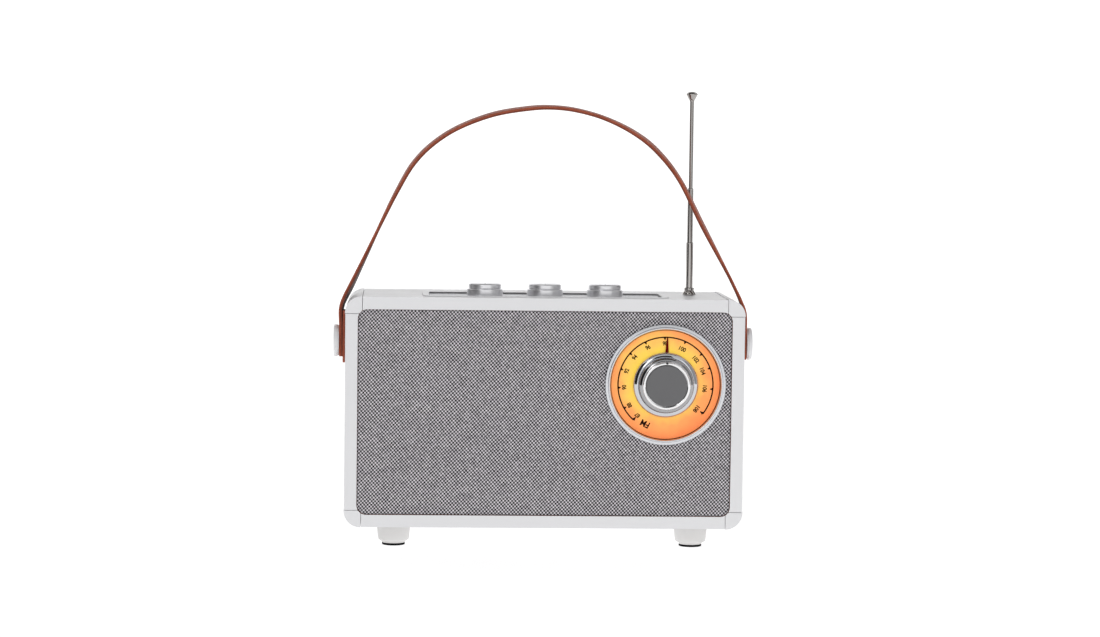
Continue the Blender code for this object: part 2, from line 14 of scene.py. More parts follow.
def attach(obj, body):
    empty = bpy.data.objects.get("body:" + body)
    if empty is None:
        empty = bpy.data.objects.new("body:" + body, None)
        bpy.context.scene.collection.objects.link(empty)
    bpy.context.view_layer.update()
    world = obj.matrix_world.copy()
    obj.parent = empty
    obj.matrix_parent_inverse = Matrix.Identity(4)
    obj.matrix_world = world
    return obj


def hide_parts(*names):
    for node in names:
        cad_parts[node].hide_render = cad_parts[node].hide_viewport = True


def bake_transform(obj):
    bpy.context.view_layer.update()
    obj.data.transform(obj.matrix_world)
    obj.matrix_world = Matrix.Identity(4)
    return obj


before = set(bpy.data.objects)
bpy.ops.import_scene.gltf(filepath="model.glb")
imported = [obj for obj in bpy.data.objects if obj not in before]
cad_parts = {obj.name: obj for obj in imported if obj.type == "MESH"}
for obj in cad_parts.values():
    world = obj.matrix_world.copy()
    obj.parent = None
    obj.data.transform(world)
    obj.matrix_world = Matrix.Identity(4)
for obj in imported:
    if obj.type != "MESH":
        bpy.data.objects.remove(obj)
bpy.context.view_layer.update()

MM = 0.001

# Dimensions shared with the CAD
FRONT, BACK = -0.039, 0.048
BOTTOM, TOP = 0.012, 0.1508
MIDDLE_Z = (BOTTOM + TOP) / 2
HALF_WIDTH, HALF_HEIGHT = 0.120, 0.0694
BOARD = 7.3 * MM
CORNER = 10.2 * MM
OPENING_RADIUS = 6.3 * MM
BOARD_STEP = 0.25 * MM
GAP = 0.3 * MM
OPENING_HALF = (HALF_WIDTH - BOARD, HALF_HEIGHT - BOARD)
CLOTH_FRONT = FRONT + 0.8 * MM
GRILLE_MARGIN = 0.6 * MM
DIAL_CENTRE = (0.0724, FRONT, 0.0993)
CONTROL_CENTRE = (0.0006, -0.0075)
CONTROL_HALF = (0.0742, 0.0229)
CONTROL_RIM, CONTROL_RADIUS = 3.7 * MM, 7.5 * MM
PLATE_TOP = TOP - 0.9 * MM
KNOB_PITCH = 36.5 * MM
ANTENNA_FOOT = (0.0902, 0.009, TOP)
STRAP_Y, PIVOT_Z = -0.006, 0.122
FEET = {"front_left": (-0.09, -0.024), "front_right": (0.09, -0.024),
        "rear_left": (-0.0925, 0.033), "rear_right": (0.0925, 0.033)}
PORT_CENTRE = (-0.080, BACK, MIDDLE_Z)
SOCKET_CENTRE = (0.040, 0.040)      # x, z
COVER_BACK = BACK - 2 * MM
SPINDLE_BORE = 3.3                  # radius in the knobs and buttons, in millimetres


# ---- camera, light, floor

def placed(name, data, matrix=Matrix()):
    """Make an object from its data and put it in the scene."""
    made = bpy.data.objects.new(name, data)
    made.matrix_world = matrix
    bpy.context.scene.collection.objects.link(made)
    return made


def mesh_from(name, data):
    bmesh.ops.recalc_face_normals(data, faces=data.faces[:])
    mesh = bpy.data.meshes.new(name)
    data.to_mesh(mesh)
    data.free()
    return mesh


def harvested(thing):
    """The evaluated mesh of an object, which is then removed."""
    graph = bpy.context.evaluated_depsgraph_get()
    mesh = bpy.data.meshes.new_from_object(thing.evaluated_get(graph))
    bpy.data.objects.remove(thing, do_unlink=True)
    return mesh


def add_camera():
    """A long lens in front of the radio, a little to its left and above it."""
    place = (-0.08425, -1.82768, 0.25942)
    yaw, pitch, roll = 0.04842, -0.06737, 0.01243
    focal_over_width = 30.0 / 11.0
    turn = (Matrix.Rotation(-yaw, 4, "Z") @ Matrix.Rotation(math.pi / 2 + pitch, 4, "X")
            @ Matrix.Rotation(roll, 4, "Z"))
    data = bpy.data.cameras.new("camera")
    data.sensor_fit = "HORIZONTAL"
    data.sensor_width = 36.0
    data.lens = focal_over_width * data.sensor_width
    data.clip_start, data.clip_end = 0.05, 50.0
    bpy.context.scene.camera = placed("camera", data, Matrix.Translation(place) @ turn)


def aimed(location, target):
    direction = Vector(target) - Vector(location)
    return Matrix.Translation(location) @ direction.to_track_quat("-Z", "Y").to_matrix().to_4x4()


def add_area_light(name, location, target, size, power):
    data = bpy.data.lights.new(name, "AREA")
    data.shape = "RECTANGLE"
    data.size, data.size_y = size
    data.energy = power
    placed(name, data, aimed(location, target)).visible_camera = False


def add_card(name, location, target, size, shade=0.01):
    """A dark card out of view that shapes the reflections in metal."""
    mesh = bpy.data.meshes.new(name)
    w, h = size[0] / 2, size[1] / 2
    mesh.from_pydata([(-w, -h, 0), (w, -h, 0), (w, h, 0), (-w, h, 0)], [], [(0, 1, 2, 3)])
    card = placed(name, mesh, aimed(location, target))
    card.visible_camera = False
    card.visible_shadow = False
    finish = Finish(name, 1.0)
    finish.set("Base Color", (shade, shade, shade))
    mesh.materials.append(finish.material)


def add_sweep():
    """Pale floor that curves up into a wall far behind the radio."""
    half_width, near, wall, height, bend, below_feet = 8.0, -8.0, 4.0, 4.0, 1.5, 0.0001
    line = [(near, 0.0), (wall - bend, 0.0)]
    line += arc((wall - bend, bend), bend, -90, 0, 16)[1:] + [(wall, height)]
    data = bmesh.new()
    rows = [[data.verts.new((x, y, z - below_feet)) for x in (-half_width, half_width)]
            for y, z in line]
    for row, following in zip(rows, rows[1:]):
        data.faces.new((row[0], row[1], following[1], following[0]))
    mesh = mesh_from("sweep", data)
    mesh.shade_smooth()
    sweep = placed("sweep", mesh)
    finish = Finish("sweep_paper", roughness=1.0, Specular_IOR_Level=0.0)
    finish.set("Base Color", finish.mix(finish.noise(3.0, 3), (0.54, 0.54, 0.54), (0.56, 0.56, 0.56)))
    finish.set("Emission Color", (1.0, 1.0, 1.0))
    finish.set("Emission Strength", 0.73)
    mesh.materials.append(finish.material)


def add_studio():
    """A pale dome, brighter low down, two soft lights, and the dark cards."""
    scene = bpy.context.scene
    scene.view_settings.view_transform = "Standard"
    world = bpy.data.worlds.new("studio")
    scene.world = world
    world.use_nodes = True
    tree = world.node_tree
    direction = tree.nodes.new("ShaderNodeSeparateXYZ")
    tree.links.new(tree.nodes.new("ShaderNodeTexCoord").outputs["Generated"], direction.inputs[0])
    dome = tree.nodes.new("ShaderNodeMapRange")
    for socket, value in (("From Min", 0.1), ("From Max", 0.9), ("To Min", 0.95), ("To Max", 0.60)):
        dome.inputs[socket].default_value = value
    tree.links.new(direction.outputs["Z"], dome.inputs["Value"])
    tree.links.new(dome.outputs[0], tree.nodes["Background"].inputs["Strength"])
    tree.nodes["Background"].inputs["Color"].default_value = (1.0, 1.0, 1.0, 1.0)
    middle = (0, 0, 0.1)
    add_area_light("key_light", (-1.1, -1.6, 1.3), middle, (0.9, 0.9), 7.0)
    add_area_light("fill_light", (1.4, -1.4, 0.9), middle, (0.8, 0.8), 2.0)
    add_card("card_left", (-0.78, -0.50, 0.515), (0.22, 0.0, 0.515), (0.95, 0.97))
    add_card("card_right", (0.85, -0.45, 0.50), (0, 0.0, 0.50), (0.80, 0.90), 0.42)
    for side, x, shade in (("left", -0.95, 0.01), ("right", 0.95, 0.03)):
        add_card("card_back_" + side, (x, 0.55, 0.55), (0, 0, 0.55), (0.60, 0.90), shade)
    add_card("card_front", (0.07, -1.05, 0.86), DIAL_CENTRE, (0.60, 0.56))
    add_card("card_over", (0.0, 0.05, 1.0), (0, 0.05, 0.1), (1.0, 0.6))
    add_sweep()


# ---- materials

class Finish:
    """A Principled material with short calls for the nodes that feed it."""

    def __init__(self, name, roughness=0.5, metallic=0.0, **sockets):
        self.material = bpy.data.materials.new(name)
        self.material.use_nodes = True
        self.tree = self.material.node_tree
        self.shader = self.tree.nodes["Principled BSDF"]
        self.set("Roughness", roughness)
        self.set("Metallic", metallic)
        for socket, value in sockets.items():
            self.set(socket.replace("_", " "), value)
        self.place = self.tree.nodes.new("ShaderNodeTexCoord").outputs["Object"]

    def put(self, socket, value):
        if isinstance(value, bpy.types.NodeSocket):
            self.tree.links.new(value, socket)
        elif socket.type == "RGBA" and len(value) == 3:
            socket.default_value = (*value, 1.0)
        else:
            socket.default_value = value

    def set(self, name, value):
        self.put(self.shader.inputs[name], value)

    def node(self, kind, inputs, **settings):
        made = self.tree.nodes.new("ShaderNode" + kind)
        for key, value in settings.items():
            setattr(made, key, value)
        for key, value in inputs.items():
            self.put(made.inputs[key], value)
        return made

    def math(self, operation, a, b=0.0):
        return self.node("Math", {0: a, 1: b}, operation=operation).outputs[0]

    def add(self, a, b):
        return self.math("ADD", a, b)

    def times(self, a, b):
        return self.math("MULTIPLY", a, b)

    def vector(self, operation, a, b=(0, 0, 0), output="Vector"):
        return self.node("VectorMath", {0: a, 1: b}, operation=operation).outputs[output]

    def dot(self, direction, vector=None):
        return self.vector("DOT_PRODUCT", vector or self.place, direction, "Value")

    def length(self, vector):
        return self.vector("LENGTH", vector, output="Value")

    def moved(self, offset, scale):
        """The place minus an offset, then scaled along each axis."""
        return self.vector("MULTIPLY", self.vector("SUBTRACT", self.place, offset), scale)

    def noise(self, scale, detail=2.0, vector=None):
        return self.node("TexNoise", {"Vector": vector or self.place, "Scale": scale,
                                      "Detail": detail}).outputs[0]

    def cells(self, scale):
        return self.node("TexVoronoi", {"Vector": self.place, "Scale": scale})

    def fit(self, value, low, high, to_low=0.0, to_high=1.0):
        return self.node("MapRange", {"Value": value, "From Min": low, "From Max": high,
                                      "To Min": to_low, "To Max": to_high},
                         clamp=True).outputs[0]

    def vary(self, noise, low=0.0, high=1.0):
        """Spread a noise, which mostly keeps to 0.3 to 0.7, from low to high."""
        return self.fit(noise, 0.3, 0.7, low, high)

    def ramp(self, factor, stops):
        made = self.node("ValToRGB", {"Fac": factor})
        elements = made.color_ramp.elements
        while len(elements) < len(stops):
            elements.new(0.5)
        for element, (position, colour) in zip(elements, stops):
            element.position = position
            element.color = (*colour, 1.0)
        return made.outputs["Color"]

    def mix(self, factor, a, b):
        made = self.node("Mix", {}, data_type="RGBA")
        self.put(made.inputs[0], factor)
        self.put(made.inputs[6], a)
        self.put(made.inputs[7], b)
        return made.outputs[2]

    def bump(self, height, distance):
        """Bump with the relief's real depth in metres."""
        made = self.node("Bump", {"Height": height, "Distance": distance, "Strength": 1.0})
        self.set("Normal", made.outputs["Normal"])


def moulded(name, colour, roughness, grain=1200.0, depth=0.02, spread=0.02, **sockets):
    """Moulded or painted plastic: slight tone and gloss variation over a fine grain."""
    finish = Finish(name, roughness, **sockets)
    slow = finish.noise(18.0, 3)
    lighter = [min(1.0, c * (1 + spread)) for c in colour]
    darker = [c * (1 - spread) for c in colour]
    finish.set("Base Color", finish.mix(slow, darker, lighter))
    finish.set("Roughness", finish.vary(finish.noise(60.0, 4), roughness - 0.05, roughness + 0.05))
    finish.bump(finish.noise(grain, 2), depth * MM)
    return finish.material


def metal(name, colour, roughness, centre=None, axis="Y", groove=0.0, spread=0.03, ripple=0.002):
    """Metal; with a centre it has fine turned rings around that point."""
    finish = Finish(name, roughness, 1.0)
    slow = finish.noise(40.0, 3)
    finish.set("Base Color", finish.mix(slow, [c * (1 - spread) for c in colour], colour))
    if centre is not None:
        radius = finish.length(finish.moved(centre, along(axis, 1, 1, 0)))
        height = finish.dot(along(axis, 0, 0, 1))
        rings = finish.node("CombineXYZ", {0: radius, 1: height}).outputs[0]
        fine = finish.noise(6500.0, 1, rings)
        finish.set("Roughness", finish.vary(fine, roughness - 0.05, roughness + 0.06))
        finish.bump(fine, groove * MM)
    else:
        smoothest = max(0.02, roughness - 0.02)
        finish.set("Roughness", finish.vary(finish.noise(90.0, 4), smoothest, roughness + 0.02))
        finish.bump(finish.noise(300.0, 2), ripple * MM)
    return finish.material


def knob_finish():
    """Chrome with a greyer band between the outer flange and the bright lip."""
    finish = Finish("knob_chrome_look", 0.07, 1.0)
    radius = finish.times(finish.length(finish.moved(DIAL_CENTRE, (1, 0, 1))), 1000.0)
    past_lip = finish.fit(radius, 14.3, 14.5)
    band = finish.times(past_lip, finish.fit(radius, 16.5, 16.3))
    haze = finish.noise(60.0, 3)
    bright = finish.mix(past_lip, (0.86, 0.86, 0.87), (0.62, 0.63, 0.66))
    shade = finish.mix(band, bright, (0.40, 0.40, 0.41))
    finish.set("Base Color", finish.mix(finish.vary(haze, 0.0, 0.08), shade, (0.45, 0.45, 0.46)))
    finish.set("Roughness", finish.vary(haze, 0.05, 0.10))
    finish.bump(finish.noise(300.0, 2), 0.0003 * MM)
    return finish.material


def leather(name, colour, highlight):
    """Smooth strap leather: pores, a mottled tone and a rubbed, lighter grain."""
    finish = Finish(name, 0.5, Specular_IOR_Level=0.14)
    mottle = finish.noise(120.0, 5)
    fine = finish.noise(900.0, 3)
    tone = finish.mix(finish.fit(mottle, 0.35, 0.65), [c * 0.78 for c in colour], colour)
    finish.set("Base Color", finish.mix(finish.fit(fine, 0.5, 0.75, 0, 0.5), tone, highlight))
    finish.set("Roughness", finish.vary(fine, 0.45, 0.62))
    pore = finish.fit(finish.cells(1500.0).outputs["Distance"], 0.0, 0.45)
    wrinkle = finish.noise(350.0, 4)
    finish.bump(finish.add(pore, finish.times(wrinkle, 1.2)), 0.03 * MM)
    return finish.material


def cloth_finish():
    """Plain weave: black and pale threads cross, and each crossing shows one of them."""
    finish = Finish("grille_weave", 0.9, Specular_IOR_Level=0.15)
    wander = finish.node("TexNoise", {"Scale": 210.0, "Detail": 2.0}).outputs["Color"]
    drift = finish.node("SeparateXYZ", {0: wander}).outputs
    most = 0.28                     # how far a crossing strays, in cells
    across = finish.add(finish.dot(WARP), finish.vary(drift[0], -most, most))
    upward = finish.add(finish.dot(WEFT), finish.vary(drift[1], -most, most))
    wave_u = finish.math("SINE", finish.times(across, math.pi))
    wave_v = finish.math("SINE", finish.times(upward, math.pi))
    crossing = finish.times(wave_u, wave_v)
    cell = finish.node("CombineXYZ", {0: finish.math("FLOOR", across),
                                      1: finish.math("FLOOR", upward)}).outputs[0]
    chance = finish.node("TexWhiteNoise", {"Vector": cell}, noise_dimensions="2D").outputs[0]
    fibre = finish.noise(2600.0, 3)
    edge = finish.add(crossing, finish.fit(chance, 0, 1, -0.16, 0.10))
    edge = finish.add(edge, finish.vary(fibre, -0.08, 0.08))
    is_black = finish.fit(edge, -0.76, 0.22)    # soft, so that the weave doesn't shimmer
    row_chance = finish.node("TexWhiteNoise", {"W": finish.math("FLOOR", upward)},
                             noise_dimensions="1D")
    pale = finish.mix(row_chance.outputs[0], (0.92, 0.90, 0.93), (1.0, 0.98, 1.0))
    pale = finish.mix(finish.fit(fibre, 0.25, 0.5), (0.78, 0.77, 0.80), pale)
    black = finish.mix(finish.fit(fibre, 0.3, 0.8), (0.004, 0.004, 0.005), (0.022, 0.021, 0.024))
    woven = finish.mix(is_black, pale, black)
    tint = finish.mix(finish.noise(160.0, 2), (0.93, 0.89, 0.94), (1.0, 1.0, 0.99))
    finish.set("Base Color", finish.vector("MULTIPLY", woven, tint))
    finish.bump(fibre, 0.05 * MM)
    return finish.material


def dial_finish():
    """Lit dial: yellow near the knob, with painted glow fall-off to orange at the rim and lower
    right.
    """
    finish = Finish("dial_glow", 0.45)
    place = finish.moved(DIAL_CENTRE, (1000, 1000, 1000))
    flat = finish.vector("MULTIPLY", place, (1, 0, 1))
    radius = finish.length(flat)
    slant = finish.dot((0.60, 0, -0.80), flat)
    patch = finish.noise(0.09, 2, flat)
    # Painted fall-off of the glow: more orange away from the knob and towards the lower right; the
    # patch noise adds random tone.
    glow_falloff_and_patches = finish.add(finish.fit(radius, 19.0, 33.0, 0.0, 0.58),
                        finish.fit(slant, -30.0, 30.0, 0.0, 0.44))
    glow_falloff_and_patches = finish.add(glow_falloff_and_patches, finish.vary(patch, -0.10, 0.10))
    colour = finish.ramp(glow_falloff_and_patches, [(0.05, (0.90, 0.66, 0.055)), (0.33, (0.88, 0.515, 0.090)),
                                  (0.60, (0.88, 0.32, 0.083)), (0.95, (0.86, 0.225, 0.058))])
    # The painted fall-off goes into the base colour as well as the emission, which is the dial's
    # glow.
    finish.set("Base Color", colour)
    finish.set("Emission Color", colour)
    finish.set("Emission Strength", 0.34)
    return finish.material


# ---- mesh helpers

def piece(name, data, materials, nodes=(), body="cabinet", sharp=32.0):
    """Make an object from a mesh or bmesh, and tie it to a CAD body if there is one."""
    mesh = mesh_from(name, data) if isinstance(data, bmesh.types.BMesh) else data
    mesh.name = name
    made = placed(name, mesh)
    for material in materials:
        mesh.materials.append(material)
    mesh.shade_smooth()
    mesh.set_sharp_from_angle(angle=math.radians(sharp))
    if nodes:
        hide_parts(*nodes)
    if body is not None:
        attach(made, body)
    return made


def arc(centre, radius, start, end, steps):
    angles = np.radians(np.linspace(start, end, steps + 1))
    return [(centre[0] + radius * math.cos(a), centre[1] + radius * math.sin(a)) for a in angles]


def rounded_outline(half, radius, centre, steps=12):
    points = []
    for turn, (u, v) in enumerate(((1, 1), (-1, 1), (-1, -1), (1, -1))):
        corner = (centre[0] + u * (half[0] - radius), centre[1] + v * (half[1] - radius))
        points += arc(corner, radius, 90 * turn, 90 * turn + 90, steps)
    return points


def grown(half, amount):
    return (half[0] + amount, half[1] + amount)


def mirrored(outline, mirror_u, mirror_v):
    return [(u * mirror_u, v * mirror_v) for u, v in outline]


def along(axis, u, v, h):
    return {"X": (h, u, v), "Y": (u, h, v), "Z": (u, v, h)}[axis]


def join_rings(data, ring, following):
    """Faces between two closed rings, either of which may be a single point."""
    count = max(len(ring), len(following))
    for i in range(count):
        j = (i + 1) % count
        corners = (ring[i % len(ring)], ring[j % len(ring)],
                   following[j % len(following)], following[i % len(following)])
        unique = list(dict.fromkeys(corners))
        if len(unique) > 2:
            data.faces.new(unique)


def prism(outline, low, high, axis="Y"):
    data = bmesh.new()
    base, lid = [[data.verts.new(along(axis, u, v, h)) for u, v in outline] for h in (low, high)]
    data.faces.new(base)
    data.faces.new(lid)
    join_rings(data, base, lid)
    return data


def frame_prism(outer, inner, low, high, axis="Y"):
    """A prism with a hole through it."""
    data = bmesh.new()
    rings = [[data.verts.new(along(axis, u, v, h)) for u, v in line]
             for line, h in ((outer, low), (outer, high), (inner, high), (inner, low))]
    for ring, following in zip(rings, rings[1:] + rings[:1]):
        join_rings(data, ring, following)
    return data


def turned(profile, centre, axis="Z", segments=96):
    """Turn a closed (radius, height) profile, in millimetres, around an axis."""
    data = bmesh.new()
    rings = []
    for radius, height in profile:
        ring = []
        for step in range(segments if radius else 1):
            angle = math.tau * step / segments
            offset = along(axis, radius * math.cos(angle), radius * math.sin(angle), height)
            ring.append(data.verts.new(Vector(centre) + Vector(offset) * MM))
        rings.append(ring)
    for ring, following in zip(rings, rings[1:] + rings[:1]):
        join_rings(data, ring, following)
    return data


def drill(radius, centre, axis, segments):
    """A cutter for a round hole through anything up to 40 mm thick."""
    return turned([(0, -20), (radius, -20), (radius, 20), (0, 20)], centre, axis, segments)


def soft_profile(points, radius=0.3, steps=4):
    """Round the corners of a closed (radius, height) profile; the axis points stay sharp.

    A point's third value, if it has one, is the rounding at that corner."""
    result = []
    count = len(points)
    for i, point in enumerate(points):
        size = point[2] if len(point) == 3 else radius
        here = np.array(point[:2], float)
        before = np.array(points[i - 1][:2], float)
        after = np.array(points[(i + 1) % count][:2], float)
        if point[0] == 0 or size <= 0:
            result.append(tuple(here))
            continue
        to_before, to_after = before - here, after - here
        cut = min(size, 0.45 * np.linalg.norm(to_before), 0.45 * np.linalg.norm(to_after))
        start = here + to_before / np.linalg.norm(to_before) * cut
        end = here + to_after / np.linalg.norm(to_after) * cut
        for t in np.linspace(0, 1, steps + 1):
            result.append(tuple((1 - t) ** 2 * start + 2 * t * (1 - t) * here + t ** 2 * end))
    return result


def bevel(data, edges, width, steps):
    bmesh.ops.bevel(data, geom=list(edges), offset=width, segments=steps, profile=0.5,
                    affect="EDGES", clamp_overlap=True)


def soften(data, axis, height, width, steps, test=None):
    """Round the sharp edges that lie in the plane axis = height and pass a test."""
    bevel(data, plane_edges(data, axis, height, test), width, steps)


def plane_edges(data, axis, height, test=None):
    found = []
    for edge in data.edges:
        ends = [vert.co for vert in edge.verts]
        if all(abs(end[axis] - height) < 1e-6 for end in ends):
            if edge.calc_face_angle(0) > 1.0 and (test is None or all(map(test, ends))):
                found.append(edge)
    return found


def cut_away(data, *cutters):
    """Subtract closed bmeshes from a bmesh and return the resulting mesh."""
    objects = []
    for index, part in enumerate((data, *cutters)):
        objects.append(placed(f"cut_work_{index}", mesh_from(f"cut_work_{index}", part)))
    for cutter in objects[1:]:
        boolean = objects[0].modifiers.new("cut", "BOOLEAN")
        boolean.operation = "DIFFERENCE"
        boolean.solver = "EXACT"
        boolean.object = cutter
    result = harvested(objects[0])
    for cutter in objects[1:]:
        bpy.data.objects.remove(cutter, do_unlink=True)
    result.materials.clear()
    return result


# ---- cabinet

def shell_data(outline, is_outer):
    """A cabinet piece from front to back with soft front and back edges."""
    data = prism([(u, MIDDLE_Z + v) for u, v in outline], FRONT, BACK)
    for plane in (FRONT, BACK):
        soften(data, 1, plane, 1.9 * MM, 7, is_outer)
        inner = [e for e in plane_edges(data, 1, plane)
                 if all(not is_outer(v.co) and is_inner(v.co) for v in e.verts)]
        bevel(data, inner, 0.7 * MM, 4)
    return data


def is_inner(point):
    """On the front or back opening's outline."""
    u, v = abs(point.x), abs(point.z - MIDDLE_Z)
    return u < OPENING_HALF[0] + 1e-5 and v < OPENING_HALF[1] + 1e-5


def add_cabinet(white):
    """Four boards between four quarter-round corner mouldings, with a gap at every seam."""
    seam_x, seam_rise = HALF_WIDTH - CORNER, HALF_HEIGHT - CORNER
    bend = grown(OPENING_HALF, -OPENING_RADIUS)

    def angle_at_x(x):
        return math.degrees(math.acos((x - bend[0]) / OPENING_RADIUS))

    def angle_at_rise(rise):
        return math.degrees(math.asin((rise - bend[1]) / OPENING_RADIUS))

    end_x, end_rise = seam_x - GAP, seam_rise - GAP
    across = [(end_x, HALF_HEIGHT - BOARD_STEP)]
    across += arc(bend, OPENING_RADIUS, angle_at_x(end_x), 90, 8)
    across += mirrored(across[::-1], -1, 1)
    upright = [(HALF_WIDTH - BOARD_STEP, end_rise)]
    upright += arc(bend, OPENING_RADIUS, angle_at_rise(end_rise), 0, 8)
    upright += mirrored(upright[::-1], 1, -1)
    moulding = arc((seam_x, seam_rise), CORNER, 0, 90, 24)
    moulding += arc(bend, OPENING_RADIUS, angle_at_x(seam_x), angle_at_rise(seam_rise), 8)

    top = shell_data(across, lambda p: p.z > TOP - BOARD_STEP - 1e-6)
    hole = prism(rounded_outline(grown(CONTROL_HALF, 0.15 * MM), CONTROL_RADIUS + 0.15 * MM,
                                 CONTROL_CENTRE), TOP - 0.02, TOP + 0.02, "Z")
    collar = drill(3.2, ANTENNA_FOOT, "Z", 48)
    piece("cabinet_top", cut_away(top, hole, collar), [white], ["top_panel"])
    bottom = shell_data(mirrored(across, 1, -1), lambda p: p.z < BOTTOM + BOARD_STEP + 1e-6)
    piece("cabinet_bottom", bottom, [white], ["bottom_panel"])
    for side, sign in (("left", -1), ("right", 1)):
        panel = shell_data(mirrored(upright, sign, 1),
                           lambda p: abs(p.x) > HALF_WIDTH - BOARD_STEP - 1e-6)
        bore = drill(SPINDLE_BORE, (sign * HALF_WIDTH, STRAP_Y, PIVOT_Z), "X", 32)
        piece("cabinet_" + side, cut_away(panel, bore), [white], [side + "_panel"])
        for level, way in (("top", 1), ("bottom", -1)):
            middle = (sign * seam_x, MIDDLE_Z + way * seam_rise)

            def on_corner_arc(p, middle=middle):
                return abs(math.hypot(p.x - middle[0], p.z - middle[1]) - CORNER) < 1e-5

            corner = shell_data(mirrored(moulding, sign, way), on_corner_arc)
            piece(f"cabinet_corner_{level}_{side}", corner, [white], [f"corner_{level}_{side}"])


def add_feet(white, rubber):
    foot = [(0, -10.85), (6.95, -10.85, 0.15), (7.2, -9.9, 0.3), (8.1, -9.75, 0.4),
            (9.2, -9.0, 0.9), (9.5, -7.4, 0.8), (10.15, -0.3, 0.1), (0, -0.3)]
    pad = [(0, -12.25), (6.5, -12.25, 0.2), (6.95, -11.95, 0.3), (6.95, -11.2, 0.1),
           (6.7, -11.1, 0.05), (0, -11.1)]
    for name, (x, y) in FEET.items():
        centre = (x, y, BOTTOM + BOARD_STEP)
        piece("foot_cup_" + name, turned(soft_profile(foot), centre), [white],
              ["foot_" + name])
        piece("foot_sole_" + name, turned(soft_profile(pad), centre), [rubber],
              ["foot_pad_" + name])


# ---- grille

# Cells of the weave per metre along x, y and z: it lies a few degrees askew
WARP = (950.5, 0.0, -87.0)
WEFT = (16.3, 0.0, 905.5)
DIAL_HOLE = 34.9 * MM               # radius of the cloth's hole, under the dial's rim


def add_grille(weave, gasket):
    """A relief of every crossing thread, folded back at the opening and cut out for the dial."""
    half = grown(OPENING_HALF, -GRILLE_MARGIN)
    radius = OPENING_RADIUS - GRILLE_MARGIN
    basis = np.array([[WARP[0], WARP[2]], [WEFT[0], WEFT[2]]])
    corners = np.array([(sx * (half[0] + 0.001), MIDDLE_Z + sz * (half[1] + 0.001))
                        for sx in (-1, 1) for sz in (-1, 1)])
    ends = corners @ basis.T
    low, high = np.floor(ends.min(0) * 2).astype(int), np.ceil(ends.max(0) * 2).astype(int)
    us, vs = np.arange(low[0], high[0] + 1), np.arange(low[1], high[1] + 1)
    grid_u, grid_v = np.meshgrid(us, vs)
    flat = np.stack([grid_u.ravel(), grid_v.ravel()], 1) / 2.0
    spots = flat @ np.linalg.inv(basis).T
    odd_u, odd_v = grid_u.ravel() % 2, grid_v.ravel() % 2
    rise = np.where(odd_u & odd_v, 0.15, np.where(odd_u ^ odd_v, 0.03, -0.10))
    noise = np.random.default_rng(5).normal(0, 0.012, len(rise))
    height = (rise + noise) * MM
    outside = np.abs(spots - [0, MIDDLE_Z]) - np.array(half) + radius
    clear = radius - np.where((outside > 0).all(1), np.hypot(*np.maximum(outside, 0).T),
                              outside.max(1))
    roll = 0.9 * MM                 # the cloth curves back over this width at its edge
    fold = np.clip((roll - clear) / roll, 0, 1)
    depth = CLOTH_FRONT + 0.15 * MM - height + roll * (1 - np.sqrt(np.maximum(0, 1 - fold ** 2)))
    vertices = np.stack([spots[:, 0], depth, spots[:, 1]], 1)
    columns, rows = len(us), len(vs)
    index = np.arange(columns * rows).reshape(rows, columns)
    quads = np.stack([index[:-1, :-1], index[:-1, 1:], index[1:, 1:], index[1:, :-1]], -1)
    quads = quads.reshape(-1, 4)
    middles = spots[quads].mean(1)
    from_dial = np.hypot(middles[:, 0] - DIAL_CENTRE[0], middles[:, 1] - DIAL_CENTRE[2])
    inside = clear[quads].max(1) > 0
    quads = quads[(from_dial > DIAL_HOLE) & inside]
    mesh = bpy.data.meshes.new("weave")
    mesh.from_pydata(vertices.tolist(), [], quads.tolist())
    data = bmesh.new()
    data.from_mesh(mesh)
    bpy.data.meshes.remove(mesh)
    loose = [vert for vert in data.verts if not vert.link_faces]
    bmesh.ops.delete(data, geom=loose, context="VERTS")
    for angle in range(0, 360, 15):
        direction = Vector((math.cos(math.radians(angle)), 0, math.sin(math.radians(angle))))
        u, v = round(direction.x, 6), round(direction.z, 6)
        corner = Vector((math.copysign(half[0] - radius, u) if u else 0, 0,
                         MIDDLE_Z + (math.copysign(half[1] - radius, v) if v else 0)))
        bmesh.ops.bisect_plane(data, geom=data.verts[:] + data.edges[:] + data.faces[:],
                               plane_co=corner + direction * radius, plane_no=direction,
                               clear_outer=True)
    piece("grille_weave", data, [weave], ["grille_cloth"], sharp=180)

    outer = rounded_outline(grown(OPENING_HALF, -0.04 * MM), OPENING_RADIUS, (0, MIDDLE_Z))
    inner = rounded_outline(grown(half, -1.2 * MM), radius, (0, MIDDLE_Z))
    strip = frame_prism(outer, inner, FRONT + 1.75 * MM, FRONT + 2.6 * MM)
    piece("grille_gasket", strip, [gasket])


# ---- dial and tuning knob

FACE_FRONT = 0.6                    # dial face, behind the cabinet's front, in millimetres
SCALE_RADIUS, HALF_LINE = 28.6, 0.42    # printed arc, in millimetres
POINTER_ANGLE = 1.5                 # degrees clockwise from straight up
# Frequency in MHz and its angle on the scale, in degrees
NUMBERS = ((87, -138), (88, -120), (90, -94), (92, -71), (94, -49), (96, -26), (98, -1.5),
           (100, 24), (102, 49), (104, 69), (106, 95), (108, 127))


def on_dial(radius, degrees, height):
    """A point at a clockwise angle from straight up; height in millimetres behind the front."""
    angle = math.radians(degrees)
    return Vector((DIAL_CENTRE[0] + radius * math.sin(angle) * MM, DIAL_CENTRE[1] + height * MM,
                   DIAL_CENTRE[2] + radius * math.cos(angle) * MM))


def dial_shape(data, corners, low, high):
    """A thin plate on the dial from (radius, angle) corners."""
    rings = [[data.verts.new(on_dial(r, a, h)) for r, a in corners] for h in (low, high)]
    for ring in rings:
        data.faces.new(ring)
    join_rings(data, *rings)


